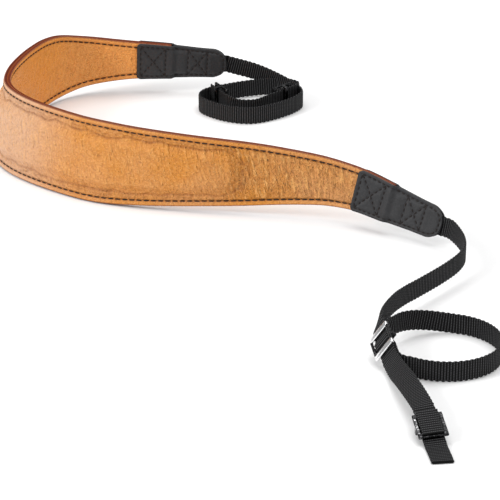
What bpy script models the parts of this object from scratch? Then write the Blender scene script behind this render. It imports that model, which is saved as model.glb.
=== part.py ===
# Leather camera strap: a padded neck piece that stands on its lower edge in a C,
# a black tab on each end, and ribbed webbing with metal sliders.
# Lengths are in millimetres here and become metres when a mesh is made.
# The strap rests on z = 0, and the middle of its plan is at the origin.

import math

import bpy
import numpy as np

# Neck pad, mm
PAD_LENGTH = 414.0
PAD_WIDTH = 44.5
OUTER_THICKNESS = 1.3
FILLING_THICKNESS = 0.8
LINING_THICKNESS = 1.2
PAD_BULGE = 2.2
EDGE_ROUND = 0.4

# Tabs, mm
TAB_LENGTH = 53.0
TAB_WIDTH = 22.5
TAB_THICKNESS = 1.1
TAB_OVERLAP = 20.0
TAB_CORNER = 2.5
TAB_PAST_PAD = 1.0
TAB_STEP_DOWN = 5.0
# Where a tab's two leaves start to close beside the webbing, as room on each side of it
TAB_POCKET_ROOM = 0.4
# and where they are closed, as a share of half the tab's width
TAB_CLOSED = 0.72
# Directions, in degrees, of the points on the corner by the pad and on the round tip
TAB_CORNER_ANGLES = (10, 35, 60, 90)
TAB_TIP_ANGLES = (18, 36, 52, 66, 78, 85)
# Points across a tab, as shares of half its width
TAB_SHARES = (-1.0, -0.94, -0.78, -0.6, -0.3, 0.3, 0.6, 0.78, 0.94, 1.0)

# Webbing, mm
WEBBING_WIDTH = 10.0
WEBBING_THICKNESS = 1.2
WEBBING_IN_TAB = 30.0
BACK_WEBBING_LENGTH = 289.0
FRONT_WEBBING_LENGTH = 262.0
LOOP_DIAMETER = 54.0
LOOP_OFFSET = 2.0
LOOP_EASING = 12.0
# How high the slider holds the loop's far side, and over what length that dies away
LOOP_LIFT = 4.5
LOOP_SETTLING = 36.0

# Sliders, mm
SLIDER_LENGTH = 15.0
SLIDER_BAR = 2.2
SLIDER_THICKNESS = 1.5
SLIDER_RAIL = 1.4
SLIDER_SIDE_ROOM = 0.5

# Gap kept between pieces that touch, mm
GAP = 0.3

# Distance between the cross sections of a long piece, mm
PAD_STEP = 7.0
WEBBING_STEP = 3.0
# Edges that meet at more than this angle, in degrees, are shaded sharp
SHARP_ANGLE = 35

# Course of the leather from the tip of the back tab to the tip of the front tab.
# share: of the whole leather. heading: degrees in plan. rise: height of the middle
# line as a share of half the pad's width. lean: degrees that the top leans inward.
LEATHER_COLUMNS = ("share", "heading", "rise", "lean")
LEATHER_COURSE = (
    (0.000, 181.0, 0.78, 2.0),
    (0.105, 181.0, 0.90, 3.0),
    (0.150, 190.0, 0.92, 3.0),
    (0.190, 216.0, 0.95, 3.0),
    (0.235, 241.0, 0.99, 4.0),
    (0.285, 251.0, 1.00, 6.0),
    (0.340, 256.0, 1.00, 7.0),
    (0.390, 268.0, 1.00, 9.0),
    (0.435, 293.0, 1.00, 10.0),
    (0.475, 308.0, 1.00, 11.0),
    (0.510, 316.0, 1.00, 11.0),
    (0.560, 322.0, 1.00, 10.0),
    (0.620, 340.0, 1.00, 8.0),
    (0.680, 348.0, 1.00, 6.0),
    (0.735, 351.0, 1.00, 5.0),
    (0.795, 349.0, 1.01, 7.0),
    (0.840, 345.0, 1.00, 9.0),
    (0.880, 336.0, 0.94, 12.0),
    (0.930, 325.0, 0.76, 15.0),
    (1.000, 325.0, 0.50, 15.0),
)

# Width of the pad. share: of the pad's own length. width: share of its full width.
PAD_OUTLINE_COLUMNS = ("share", "width")
PAD_OUTLINE = (
    (0.000, 0.46),
    (0.048, 0.51),
    (0.075, 0.56),
    (0.120, 0.68),
    (0.180, 0.88),
    (0.230, 0.96),
    (0.290, 1.00),
    (0.600, 1.00),
    (0.670, 0.94),
    (0.737, 0.86),
    (0.800, 0.78),
    (0.870, 0.65),
    (0.930, 0.54),
    (0.952, 0.51),
    (1.000, 0.46),
)

# Padded middle of the pad. share: of the pad's length. height: share of the bulge.
BULGE_COLUMNS = ("share", "height")
BULGE_COURSE = (
    (0.200, 0.00),
    (0.235, 0.70),
    (0.290, 1.00),
    (0.680, 1.00),
    (0.765, 0.70),
    (0.800, 0.00),
)

# Half the width of a tab. share: of the tab's length from the pad. width: share of
# half its full width. The round tip and the corners follow from arcs.
TAB_OUTLINE_COLUMNS = ("share", "width")
TAB_OUTLINE = (
    (0.00, 1.00),
    (0.40, 0.90),
    (0.75, 0.79),
    (1.00, 0.76),
)

# Course of a webbing from the tip of its tab. share: of its length outside the tab.
# turn: degrees from the tab's own heading. rise: how high it stands over its resting
# height, as a share of the tab's. lean: degrees that the upper edge leans to the left.
WEBBING_COLUMNS = ("share", "turn", "rise", "lean")
BACK_COURSE = (
    (0.000, 0.0, 1.00, -2.0),
    (0.025, -6.0, 0.85, 0.0),
    (0.076, -27.0, 0.60, 0.0),
    (0.131, -38.0, 0.30, 0.0),
    (0.169, -52.0, 0.10, 0.0),
    (0.188, -80.0, 0.02, 0.0),
    (0.209, -114.0, 0.00, 0.0),
    (0.264, -136.0, 0.00, 0.0),
    (0.321, -152.0, 0.00, 0.0),
    (0.362, -190.0, 0.00, 0.0),
    (0.412, -218.0, 0.00, 0.0),
    (0.458, -236.0, 0.00, 0.0),
    (0.499, -285.0, 0.00, 0.0),
    (0.544, -330.0, 0.00, 0.0),
    (0.590, -338.0, 0.02, 0.0),
    (0.678, -372.0, 0.12, 0.0),
    (0.719, -405.0, 0.18, 0.0),
    (0.745, -455.0, 0.18, 0.0),
    (0.780, -494.0, 0.18, 0.0),
    (0.830, -494.0, 0.18, 0.0),
    (0.871, -530.0, 0.10, 0.0),
    (0.896, -556.0, 0.10, 0.0),
    (0.927, -586.0, 0.18, 0.0),
    (0.963, -603.0, 0.18, 0.0),
    (1.000, -612.0, 0.18, 0.0),
)
FRONT_COURSE = (
    (0.000, 0.0, 1.00, 15.0),
    (0.015, -14.0, 0.98, 13.0),
    (0.030, -33.0, 0.94, 10.0),
    (0.088, -46.0, 0.82, 3.0),
    (0.126, -62.0, 0.75, 0.0),
    (0.153, -75.0, 0.72, 0.0),
    (0.202, -88.0, 0.66, 0.0),
    (0.267, -92.0, 0.63, 0.0),
    (0.328, -93.0, 0.63, 0.0),
    (0.370, -85.0, 0.72, 0.0),
    (0.424, -75.0, 1.00, 0.0),
    (0.489, -73.0, 1.30, 4.0),
    (0.534, -64.0, 1.38, 14.0),
    (0.565, -50.0, 1.25, 24.0),
    (0.593, -43.5, 0.95, 30.0),
    (0.640, -42.0, 0.35, 32.0),
    (0.680, -42.0, 0.42, 42.0),
    (0.740, -42.0, 0.85, 60.0),
    (0.845, -43.0, 1.20, 80.0),
    (0.900, -44.5, 0.58, 86.0),
    (0.945, -46.5, 0.06, 89.0),
    (1.000, -47.5, 0.00, 90.0),
)

# Places of the sliders, as shares of the webbing that each one sits on
FRONT_SLIDER_AT = 0.593
TAIL_SLIDER_AT = 0.900
BACK_SLIDER_AT = 0.786
END_SLIDER_AT = 0.966

COLOURS = {
    "tan_leather": ((0.60, 0.29, 0.09), 0.55, 0.0),
    "lining_leather": ((0.50, 0.21, 0.05), 0.60, 0.0),
    "pad_filling": ((0.20, 0.05, 0.02), 0.70, 0.0),
    "black_leather": ((0.035, 0.035, 0.037), 0.60, 0.0),
    "black_webbing": ((0.012, 0.012, 0.012), 0.80, 0.0),
    "polished_metal": ((0.75, 0.75, 0.76), 0.15, 1.0),
}


def columns(names, rows):
    """A table's columns by name, as arrays."""
    return {name: np.array([row[i] for row in rows]) for i, name in enumerate(names)}


def smooth(shares, values, at):
    """A smooth curve through the values that never swings past them."""
    at = np.clip(at, shares[0], shares[-1])
    step = np.diff(shares)
    rise = np.diff(values) / step
    slope = np.zeros(len(values))
    slope[0] = rise[0]
    slope[-1] = rise[-1]
    for i in range(1, len(values) - 1):
        if rise[i - 1] * rise[i] > 0:
            slope[i] = 2 * rise[i - 1] * rise[i] / (rise[i - 1] + rise[i])
    i = np.clip(np.searchsorted(shares, at, side="right") - 1, 0, len(step) - 1)
    t = (at - shares[i]) / step[i]
    return (
        (2 * t**3 - 3 * t**2 + 1) * values[i]
        + (t**3 - 2 * t**2 + t) * step[i] * slope[i]
        + (3 * t**2 - 2 * t**3) * values[i + 1]
        + (t**3 - t**2) * step[i] * slope[i + 1]
    )


def ramp(value, low, high):
    """0 below low, 1 above high, and a smooth rise between them."""
    t = np.clip((value - low) / (high - low), 0.0, 1.0)
    return t * t * (3 - 2 * t)


def held(along, places, reach):
    """Distances along a strap, standing still near each place so that it is flat there."""
    out = along.copy()
    for place in places:
        off = along - place
        near = np.abs(off) < 2 * reach
        out[near] = place + np.sign(off[near]) * np.maximum(0, 2 * (np.abs(off[near]) - reach))
    return out


def straightened(along, values, places, reach):
    """The values with a straight slope near each place, and as they are further away."""
    out = values.copy()
    slope = np.gradient(values, along[1])
    for place in places:
        off = along - place
        line = np.interp(place, along, values) + off * np.interp(place, along, slope)
        near = 1 - ramp(np.abs(off), reach, 2 * reach)
        out = out * (1 - near) + line * near
    return out


class Course:
    """A strap's middle line, with the directions along, across and out of it."""

    def __init__(self, length, heading, height, lean, start, flat_at=(), flat_reach=0.0):
        count = int(length / 0.25) + 1
        self.along = np.linspace(0, length, count)
        self.length = length
        step = self.along[1]
        level = straightened(self.along, height(self.along), flat_at, flat_reach)
        climb = np.gradient(level, step)
        read = held(self.along, flat_at, flat_reach)
        turn = np.radians(heading(read))
        flat = np.sqrt(1 - climb**2)
        self.ahead = np.stack([np.cos(turn) * flat, np.sin(turn) * flat, climb], axis=1)
        middle = (self.ahead[1:, :2] + self.ahead[:-1, :2]) / 2
        plan = np.vstack([start[:2], start[:2] + np.cumsum(middle * step, axis=0)])
        self.point = np.column_stack([plan, level])
        left = np.stack([-np.sin(turn), np.cos(turn), np.zeros(count)], axis=1)
        upright = np.cross(self.ahead, left)
        tilt = np.radians(lean(read))[:, None]
        self.across = upright * np.cos(tilt) + left * np.sin(tilt)
        self.out = np.cross(self.ahead, self.across)

    def frame(self, along):
        """Middle, ahead, across and out at distances along the strap."""
        found = []
        for values in (self.point, self.ahead, self.across, self.out):
            found.append(np.stack([np.interp(along, self.along, v) for v in values.T], axis=-1))
        return found


def sheet(name, colour, frames, across, upper, lower, closed=False):
    """A solid between two faces of a strap: rows go along it and columns across it.

    across, upper and lower hold one row of distances for each cross section.
    """
    middle, _, side, out = frames
    rows, count = across.shape
    faces_of = []
    for level in (upper, lower):
        place = middle[:, None] + side[:, None] * across[..., None] + out[:, None] * level[..., None]
        faces_of.append(place.reshape(-1, 3))
    points = np.vstack(faces_of)
    below = rows * count
    faces = []
    steps = rows if closed else rows - 1
    for i in range(steps):
        a = i * count
        b = (i + 1) % rows * count
        for j in range(count - 1):
            faces.append((a + j, b + j, b + j + 1, a + j + 1))
            faces.append((below + a + j, below + a + j + 1, below + b + j + 1, below + b + j))
        last = count - 1
        faces.append((a, below + a, below + b, b))
        faces.append((a + last, b + last, below + b + last, below + a + last))
    if not closed:
        end = (rows - 1) * count
        for j in range(count - 1):
            faces.append((j, j + 1, below + j + 1, below + j))
            faces.append((end + j, below + end + j, below + end + j + 1, end + j + 1))
    return solid(name, colour, points, faces)


def solid(name, colour, points, faces):
    """One closed mesh object, with its own material."""
    mesh = bpy.data.meshes.new(name)
    mesh.from_pydata((points * 0.001).tolist(), [], faces)
    mesh.validate()
    piece = bpy.data.objects.new(name, mesh)
    bpy.context.scene.collection.objects.link(piece)
    base, roughness, metallic = COLOURS[colour]
    material = bpy.data.materials.new(name)
    material.use_nodes = True
    shader = material.node_tree.nodes["Principled BSDF"]
    shader.inputs["Base Color"].default_value = (*base, 1.0)
    shader.inputs["Roughness"].default_value = roughness
    shader.inputs["Metallic"].default_value = metallic
    mesh.materials.append(material)
    mesh.shade_smooth()
    mesh.set_sharp_from_angle(angle=math.radians(SHARP_ANGLE))
    return piece


# The leather

STACK = OUTER_THICKNESS + FILLING_THICKNESS + LINING_THICKNESS + 2 * GAP
TAB_REACH = TAB_LENGTH - TAB_OVERLAP
LEATHER_LENGTH = PAD_LENGTH + 2 * TAB_REACH
# Where the padded middle starts to rise and is full, as shares of half the width
CREASE = 0.66
CREASE_TOP = 0.44


def leather_course():
    """The course that the pad and both tabs follow."""
    table = columns(LEATHER_COLUMNS, LEATHER_COURSE)

    def column(name):
        return lambda along: smooth(table["share"], table[name], along / LEATHER_LENGTH)

    def height(along):
        lean = np.radians(column("lean")(along))
        return PAD_WIDTH / 2 * column("rise")(along) * np.cos(lean)

    return Course(LEATHER_LENGTH, column("heading"), height, column("lean"), (0.0, 0.0))


def pad_half_width(along):
    table = columns(PAD_OUTLINE_COLUMNS, PAD_OUTLINE)
    return PAD_WIDTH / 2 * smooth(table["share"], table["width"], along / PAD_LENGTH)


def bulge(along, share):
    """How far the padding lifts the outer leather. share: of half the local width."""
    table = columns(BULGE_COLUMNS, BULGE_COURSE)
    height = smooth(table["share"], table["height"], along / PAD_LENGTH)
    return PAD_BULGE * height * ramp(CREASE - np.abs(share), 0.0, CREASE - CREASE_TOP)


def pad_rows(half):
    """Shares of half the width, across the pad: rounded edge, crease, slope and middle."""
    rounded = 1 - EDGE_ROUND / half
    left = [-1.0, -rounded, -CREASE, -(CREASE + CREASE_TOP) / 2, -CREASE_TOP]
    return left + [0.0] + [-value for value in reversed(left)]


def build_pad(course):
    stations = np.linspace(0, PAD_LENGTH, int(PAD_LENGTH / PAD_STEP) + 1)
    frames = course.frame(stations + TAB_REACH)
    half = pad_half_width(stations)[:, None]
    shares = np.array([pad_rows(h) for h in half[:, 0]])
    across = half * shares
    lift = bulge(stations[:, None], shares)
    edge = np.zeros(across.shape)
    edge[:, [0, -1]] = EDGE_ROUND
    base = -STACK / 2
    plain = [0, 1, 5, 9, 10]
    flat = np.full(across[:, plain].shape, base)
    sheet("lining_leather", "lining_leather", frames, across[:, plain],
          flat + LINING_THICKNESS, flat + edge[:, plain])
    base += LINING_THICKNESS + GAP
    filled = [0, 2, 3, 4, 5, 6, 7, 8, 10]
    inset = across[:, filled] * (1 - EDGE_ROUND / 2 / half)
    sheet("pad_filling", "pad_filling", frames, inset,
          base + FILLING_THICKNESS + lift[:, filled], np.full(inset.shape, base))
    base += FILLING_THICKNESS + GAP
    sheet("outer_leather", "tan_leather", frames, across,
          base + OUTER_THICKNESS + lift - edge, base + lift)


def tab_half_width(from_pad):
    """Half the width of a tab, with round corners by the pad and a round tip."""
    table = columns(TAB_OUTLINE_COLUMNS, TAB_OUTLINE)
    half = TAB_WIDTH / 2 * smooth(table["share"], table["width"], from_pad / TAB_LENGTH)
    corner = np.clip(TAB_CORNER - from_pad, 0, TAB_CORNER)
    half -= TAB_CORNER - np.sqrt(TAB_CORNER**2 - corner**2)
    tip = TAB_WIDTH / 2 * TAB_OUTLINE[-1][1]
    past = np.clip(from_pad - (TAB_LENGTH - tip), 0, tip)
    return half - tip + np.sqrt(tip**2 - past**2)


def tab_stations():
    """Distances from the pad side of a tab, closer together on its round parts."""
    tip = TAB_WIDTH / 2 * TAB_OUTLINE[-1][1]
    corner = [TAB_CORNER * (1 - math.cos(math.radians(a))) for a in TAB_CORNER_ANGLES]
    over_pad = np.linspace(TAB_CORNER, TAB_OVERLAP + TAB_PAST_PAD, 5)[1:]
    past_pad = np.linspace(TAB_OVERLAP + TAB_PAST_PAD, TAB_LENGTH - tip, 6)[1:]
    round_tip = [TAB_LENGTH - tip + tip * math.sin(math.radians(a)) for a in TAB_TIP_ANGLES]
    return np.array([*corner, *over_pad, *past_pad, *round_tip])


def build_tab(name, course, tip_at, toward_pad):
    """The outer and the inner leaf of one tab."""
    from_pad = tab_stations()
    along = tip_at + toward_pad * (TAB_LENGTH - from_pad)
    order = np.argsort(along)
    from_pad = from_pad[order]
    frames = course.frame(along[order])
    half = tab_half_width(from_pad)
    across = half[:, None] * np.array(TAB_SHARES)
    past_pad = ramp(from_pad, TAB_OVERLAP + TAB_PAST_PAD, TAB_OVERLAP + TAB_PAST_PAD + TAB_STEP_DOWN)
    over_pad = STACK / 2 + GAP
    over_webbing = WEBBING_THICKNESS / 2 + GAP
    core = over_pad + (over_webbing - over_pad) * past_pad
    pocket = WEBBING_WIDTH / 2 + TAB_POCKET_ROOM
    closing = ramp(np.abs(across), pocket, TAB_WIDTH / 2 * TAB_CLOSED) * past_pad[:, None]
    inner = core[:, None] * (1 - closing) + GAP / 2 * closing
    outer = inner + TAB_THICKNESS
    outer[:, [0, -1]] -= EDGE_ROUND
    sheet(name + "_outer_leaf", "black_leather", frames, across, outer, inner)
    sheet(name + "_inner_leaf", "black_leather", frames, across, -inner, -outer)


# The webbing and the sliders

SLIDER_WIDTH = WEBBING_WIDTH + 2 * (SLIDER_SIDE_ROOM + SLIDER_RAIL)
BAR_LEVEL = WEBBING_THICKNESS / 2 + GAP + SLIDER_THICKNESS / 2
BAR_DROP = 2 * BAR_LEVEL
LAYER_PITCH = WEBBING_THICKNESS + GAP
FLAT_REACH = SLIDER_LENGTH / 2 + 1.0


def webbing_course(rows, length, start, flat_at, heading, height):
    """The course of a webbing outside its tab, which goes on from the tab's tip."""
    table = columns(WEBBING_COLUMNS, rows)

    def column(name, along):
        return smooth(table["share"], table[name], along / length)

    def rest_height(along):
        lean = np.radians(column("lean", along))
        standing = WEBBING_WIDTH / 2 * np.abs(np.cos(lean))
        return standing + WEBBING_THICKNESS / 2 * np.abs(np.sin(lean))

    def course_height(along):
        above = height - WEBBING_WIDTH / 2
        return rest_height(along) + above * column("rise", along)

    return Course(
        length,
        lambda along: heading + column("turn", along),
        course_height,
        lambda along: column("lean", along),
        start,
        [share * length for share in flat_at],
        FLAT_REACH,
    )


def hump(off, height):
    """How far a webbing is lifted where it goes over a slider's middle bar."""
    clear = SLIDER_BAR / 2
    slope_end = SLIDER_LENGTH / 2 - SLIDER_BAR - GAP
    return height * (1 - ramp(np.abs(off), clear, slope_end))


def webbing_stations(low, high, places):
    """Distances along a webbing, closer together at the sliders."""
    found = set(np.linspace(low, high, int((high - low) / WEBBING_STEP) + 1).tolist())
    for place in places:
        found = {s for s in found if abs(s - place) > SLIDER_LENGTH / 2}
        for k in range(-5, 6):
            found.add(place + k * SLIDER_LENGTH / 10)
    return np.array(sorted(found))


def build_webbing(name, course, inside, humps):
    """A webbing from inside its tab to its cut end. inside holds the tab's frames."""
    places = [place for place, _ in humps]
    stations = webbing_stations(0.0, course.length, places)
    frames = [np.vstack(pair) for pair in zip(inside, course.frame(stations))]
    offset = sum((hump(stations - place, height) for place, height in humps), 0 * stations)
    offset = np.concatenate([np.zeros(len(inside[0])), offset])[:, None]
    across = np.tile([-WEBBING_WIDTH / 2, WEBBING_WIDTH / 2], (len(offset), 1))
    half = WEBBING_THICKNESS / 2
    sheet(name, "black_webbing", frames, across, offset + half + 0 * across, offset - half + 0 * across)


def build_loop(course, place):
    """The ring of webbing under the strap in the front slider."""
    centre, ahead, side, out = [v[0] for v in course.frame(np.array([place]))]
    radius = LOOP_DIAMETER / 2
    forward = np.array([ahead[0], ahead[1], 0.0]) / math.hypot(ahead[0], ahead[1])
    left = np.array([-forward[1], forward[0], 0.0])
    around = 2 * math.pi * radius
    coarse = np.linspace(SLIDER_LENGTH / 2, around - SLIDER_LENGTH / 2, int(around / WEBBING_STEP))
    fine = np.linspace(-SLIDER_LENGTH / 2, SLIDER_LENGTH / 2, 11)[1:-1]
    off = np.concatenate([fine, coarse])
    off = np.where(off > around / 2, off - around, off)[:, None]
    angle = off / radius
    ring = centre + radius * ((1 - np.cos(angle)) * left + np.sin(angle) * forward) + LOOP_OFFSET * left
    ring[:, 2] = WEBBING_WIDTH / 2
    free = ramp(np.abs(off), FLAT_REACH, FLAT_REACH + LOOP_EASING)
    straight = centre + off * ahead - LAYER_PITCH * out
    middle = straight * (1 - free) + ring * free
    middle += hump(off, LAYER_PITCH) * out
    clear = FLAT_REACH + LOOP_EASING
    held_up = ramp(-off, FLAT_REACH, clear) * (1 - ramp(-off, clear, clear + LOOP_SETTLING))
    middle[:, 2:] += LOOP_LIFT * held_up
    run = np.roll(middle, -1, axis=0) - np.roll(middle, 1, axis=0)
    run /= np.linalg.norm(run, axis=1, keepdims=True)
    flat = np.abs(off) < FLAT_REACH
    run = np.where(flat, ahead, run)
    upright = side * (1 - free) + np.array([0.0, 0.0, 1.0]) * free
    upright -= run * np.sum(upright * run, axis=1, keepdims=True)
    upright /= np.linalg.norm(upright, axis=1, keepdims=True)
    frames = (middle, run, upright, np.cross(run, upright))
    across = np.tile([-WEBBING_WIDTH / 2, WEBBING_WIDTH / 2], (len(off), 1))
    half = WEBBING_THICKNESS / 2 + 0 * across
    sheet("lug_loop", "black_webbing", frames, across, half, -half, closed=True)


def build_slider(name, course, place):
    """A flat metal frame whose middle bar hangs on two legs under the webbing."""
    centre, ahead, side, out = [v[0] for v in course.frame(np.array([place]))]
    end = SLIDER_LENGTH / 2
    bar = SLIDER_BAR / 2
    edge = SLIDER_WIDTH / 2
    slot = edge - SLIDER_RAIL
    half = SLIDER_THICKNESS / 2
    lengths = (-end, -end + SLIDER_BAR, -bar, bar, end - SLIDER_BAR, end)
    widths = (-edge, -slot, slot, edge)
    levels = (BAR_LEVEL - BAR_DROP - half, BAR_LEVEL - BAR_DROP + half, BAR_LEVEL - half, BAR_LEVEL + half)

    def filled(i, j, k):
        if not (0 <= i < 5 and 0 <= j < 3 and 0 <= k < 3):
            return False
        if k == 0:
            return i == 2
        if k == 1:
            return i == 2 and j != 1
        return i in (0, 4) or j != 1

    def corner(i, j, k):
        return (i * 4 + j) * 4 + k

    points = [
        centre + ahead * t + side * b + out * n
        for t in lengths for b in widths for n in levels
    ]
    faces = []
    for i in range(5):
        for j in range(3):
            for k in range(3):
                if filled(i, j, k):
                    faces += cell_faces(i, j, k, filled, corner)
    solid(name, "polished_metal", *used(np.array(points), faces))


def cell_faces(i, j, k, filled, corner):
    """The faces of one block cell that no filled cell covers, turned outward."""
    found = []
    for axis in range(3):
        for far in (0, 1):
            beside = [i, j, k]
            beside[axis] += 2 * far - 1
            if filled(*beside):
                continue
            ring = []
            for first, second in ((0, 0), (1, 0), (1, 1), (0, 1)):
                at = [i, j, k]
                at[axis] += far
                at[(axis + 1) % 3] += first
                at[(axis + 2) % 3] += second
                ring.append(corner(*at))
            found.append(tuple(ring if far else reversed(ring)))
    return found


def used(points, faces):
    """The points that some face has, with the faces counted again."""
    kept = sorted({index for face in faces for index in face})
    place = {index: i for i, index in enumerate(kept)}
    return points[kept], [tuple(place[index] for index in face) for face in faces]


def inside_tab(course, tip_at, toward_pad):
    """Frames of the webbing's hidden stretch, from its inner end to just short of the tip."""
    deep = np.linspace(WEBBING_IN_TAB - 1.0, WEBBING_STEP, 6)
    middle, ahead, side, out = course.frame(tip_at + toward_pad * deep)
    if toward_pad > 0:
        return middle, -ahead, side, -out
    return middle, ahead, side, out


def settle():
    """Puts the strap on z = 0 with the middle of its plan at the origin."""
    pieces = [piece for piece in bpy.data.objects if piece.type == "MESH"]
    points = np.array([v.co for piece in pieces for v in piece.data.vertices])
    low = points.min(axis=0)
    high = points.max(axis=0)
    shift = (-(low[0] + high[0]) / 2, -(low[1] + high[1]) / 2, -low[2])
    for piece in pieces:
        for vertex in piece.data.vertices:
            vertex.co.x += shift[0]
            vertex.co.y += shift[1]
            vertex.co.z += shift[2]


def main():
    for piece in list(bpy.data.objects):
        bpy.data.objects.remove(piece, do_unlink=True)

    leather = leather_course()
    build_pad(leather)
    build_tab("back_tab", leather, 0.0, 1)
    build_tab("front_tab", leather, LEATHER_LENGTH, -1)

    tip, ahead, _, _ = leather.frame(np.array([0.0]))
    heading = math.degrees(math.atan2(-ahead[0][1], -ahead[0][0]))
    back = webbing_course(BACK_COURSE, BACK_WEBBING_LENGTH, tip[0], (BACK_SLIDER_AT, END_SLIDER_AT),
                          heading, tip[0][2])
    back_places = (BACK_SLIDER_AT * BACK_WEBBING_LENGTH, END_SLIDER_AT * BACK_WEBBING_LENGTH)
    build_webbing("back_webbing", back, inside_tab(leather, 0.0, 1), [(place, 0.0) for place in back_places])
    build_slider("back_slider", back, back_places[0])
    build_slider("back_end_slider", back, back_places[1])

    tip, ahead, _, _ = leather.frame(np.array([LEATHER_LENGTH]))
    heading = math.degrees(math.atan2(ahead[0][1], ahead[0][0]))
    front = webbing_course(FRONT_COURSE, FRONT_WEBBING_LENGTH, tip[0], (FRONT_SLIDER_AT, TAIL_SLIDER_AT),
                           heading, tip[0][2])
    front_place = FRONT_SLIDER_AT * FRONT_WEBBING_LENGTH
    tail_place = TAIL_SLIDER_AT * FRONT_WEBBING_LENGTH
    build_webbing("front_webbing", front, inside_tab(leather, LEATHER_LENGTH, -1),
                  [(front_place, LAYER_PITCH), (tail_place, 0.0)])
    build_loop(front, front_place)
    build_slider("front_slider", front, front_place)
    build_slider("tail_slider", front, tail_place)
    settle()


main()
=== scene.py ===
import math

import bmesh
import bpy
import numpy as np
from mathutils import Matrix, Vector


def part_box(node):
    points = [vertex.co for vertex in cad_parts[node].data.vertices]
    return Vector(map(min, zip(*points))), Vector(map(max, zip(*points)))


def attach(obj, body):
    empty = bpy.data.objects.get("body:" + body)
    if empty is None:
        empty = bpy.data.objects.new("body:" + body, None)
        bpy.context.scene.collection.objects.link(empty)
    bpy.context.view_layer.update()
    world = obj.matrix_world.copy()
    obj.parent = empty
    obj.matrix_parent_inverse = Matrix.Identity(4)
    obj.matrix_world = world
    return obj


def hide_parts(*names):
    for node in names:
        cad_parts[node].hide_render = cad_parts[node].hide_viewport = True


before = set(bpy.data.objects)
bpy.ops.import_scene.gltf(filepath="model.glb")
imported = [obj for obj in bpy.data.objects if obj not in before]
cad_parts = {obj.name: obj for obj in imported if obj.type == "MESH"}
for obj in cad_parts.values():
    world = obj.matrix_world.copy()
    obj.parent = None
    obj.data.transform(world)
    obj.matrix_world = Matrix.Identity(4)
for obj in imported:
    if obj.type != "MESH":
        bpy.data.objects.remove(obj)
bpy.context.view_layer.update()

# The look of a leather camera strap: a padded neck piece on its lower edge, black
# leather tabs sewn on both ends, ribbed webbing and polished sliders.
# Lengths are in metres. "along" runs down a strap, "across" goes up its width and
# "level" stands out of its face.

mm = 0.001


# Shape tools

def columns(names, rows):
    # The columns of a table by name
    return {name: np.array([row[i] for row in rows]) for i, name in enumerate(names)}


def smooth(shares, values, at):
    # A smooth curve through a column, which never overshoots its rows
    at = np.clip(at, shares[0], shares[-1])
    step = np.diff(shares)
    rise = np.diff(values) / step
    slope = np.zeros(len(values))
    slope[0] = rise[0]
    slope[-1] = rise[-1]
    for i in range(1, len(values) - 1):
        if rise[i - 1] * rise[i] > 0:
            slope[i] = 2 * rise[i - 1] * rise[i] / (rise[i - 1] + rise[i])
    i = np.clip(np.searchsorted(shares, at, side="right") - 1, 0, len(step) - 1)
    t = (at - shares[i]) / step[i]
    return (
        (2 * t**3 - 3 * t**2 + 1) * values[i]
        + (t**3 - 2 * t**2 + t) * step[i] * slope[i]
        + (3 * t**2 - 2 * t**3) * values[i + 1]
        + (t**3 - t**2) * step[i] * slope[i + 1]
    )


def ramp(value, low, high):
    t = np.clip((value - low) / (high - low), 0.0, 1.0)
    return t * t * (3 - 2 * t)


def bell(value, middle, width):
    return np.exp(-(((value - middle) / width) ** 2))


def patches(x, y, seed=0.0):
    # Soft unevenness from 0 to 1, with a new value at each whole x and y
    column, row = np.floor(x), np.floor(y)
    fx, fy = ramp(x - column, 0.0, 1.0), ramp(y - row, 0.0, 1.0)

    def corner(a, b):
        value = np.sin(a * 127.1 + b * 311.7 + seed * 74.7) * 43758.5453
        return value - np.floor(value)

    low = corner(column, row) * (1 - fx) + corner(column + 1, row) * fx
    high = corner(column, row + 1) * (1 - fx) + corner(column + 1, row + 1) * fx
    return low * (1 - fy) + high * fy


def held(along, places, reach):
    # Distances that stand still at each place, so that a strap stays straight in a slider
    out = along.copy()
    for place in places:
        off = along - place
        near = np.abs(off) < 2 * reach
        out[near] = place + np.sign(off[near]) * np.maximum(0, 2 * (np.abs(off[near]) - reach))
    return out


def straightened(along, values, places, reach):
    # Values with a straight stretch at each place
    out = values.copy()
    slope = np.gradient(values, along[1])
    for place in places:
        off = along - place
        line = np.interp(place, along, values) + off * np.interp(place, along, slope)
        near = 1 - ramp(np.abs(off), reach, 2 * reach)
        out = out * (1 - near) + line * near
    return out


courseStep = 0.25 * mm


class Course:
    # A strap's middle line, with the directions along, across and out of it. heading, height
    # and lean are functions of the distance along, and the strap is straight at flatAt.
    def __init__(self, length, heading, height, lean, start, flatAt=(), flatReach=0.0):
        count = int(length / courseStep) + 1
        self.along = np.linspace(0, length, count)
        self.length = length
        step = self.along[1]
        level = straightened(self.along, height(self.along), flatAt, flatReach)
        climb = np.gradient(level, step)
        read = held(self.along, flatAt, flatReach)
        turn = np.radians(heading(read))
        flat = np.sqrt(1 - climb**2)
        self.ahead = np.stack([np.cos(turn) * flat, np.sin(turn) * flat, climb], axis=1)
        middle = (self.ahead[1:, :2] + self.ahead[:-1, :2]) / 2
        plan = np.vstack([start[:2], start[:2] + np.cumsum(middle * step, axis=0)])
        self.point = np.column_stack([plan, level])
        left = np.stack([-np.sin(turn), np.cos(turn), np.zeros(count)], axis=1)
        upright = np.cross(self.ahead, left)
        tilt = np.radians(lean(read))[:, None]
        self.across = upright * np.cos(tilt) + left * np.sin(tilt)
        self.out = np.cross(self.ahead, self.across)

    def frame(self, along):
        found = []
        for values in (self.point, self.ahead, self.across, self.out):
            found.append(np.stack([np.interp(along, self.along, v) for v in values.T], axis=-1))
        return found


def frameAt(course, at):
    # Middle, ahead, side and out of a course at one distance along it
    return [values[0] for values in course.frame(np.array([at]))]


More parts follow.
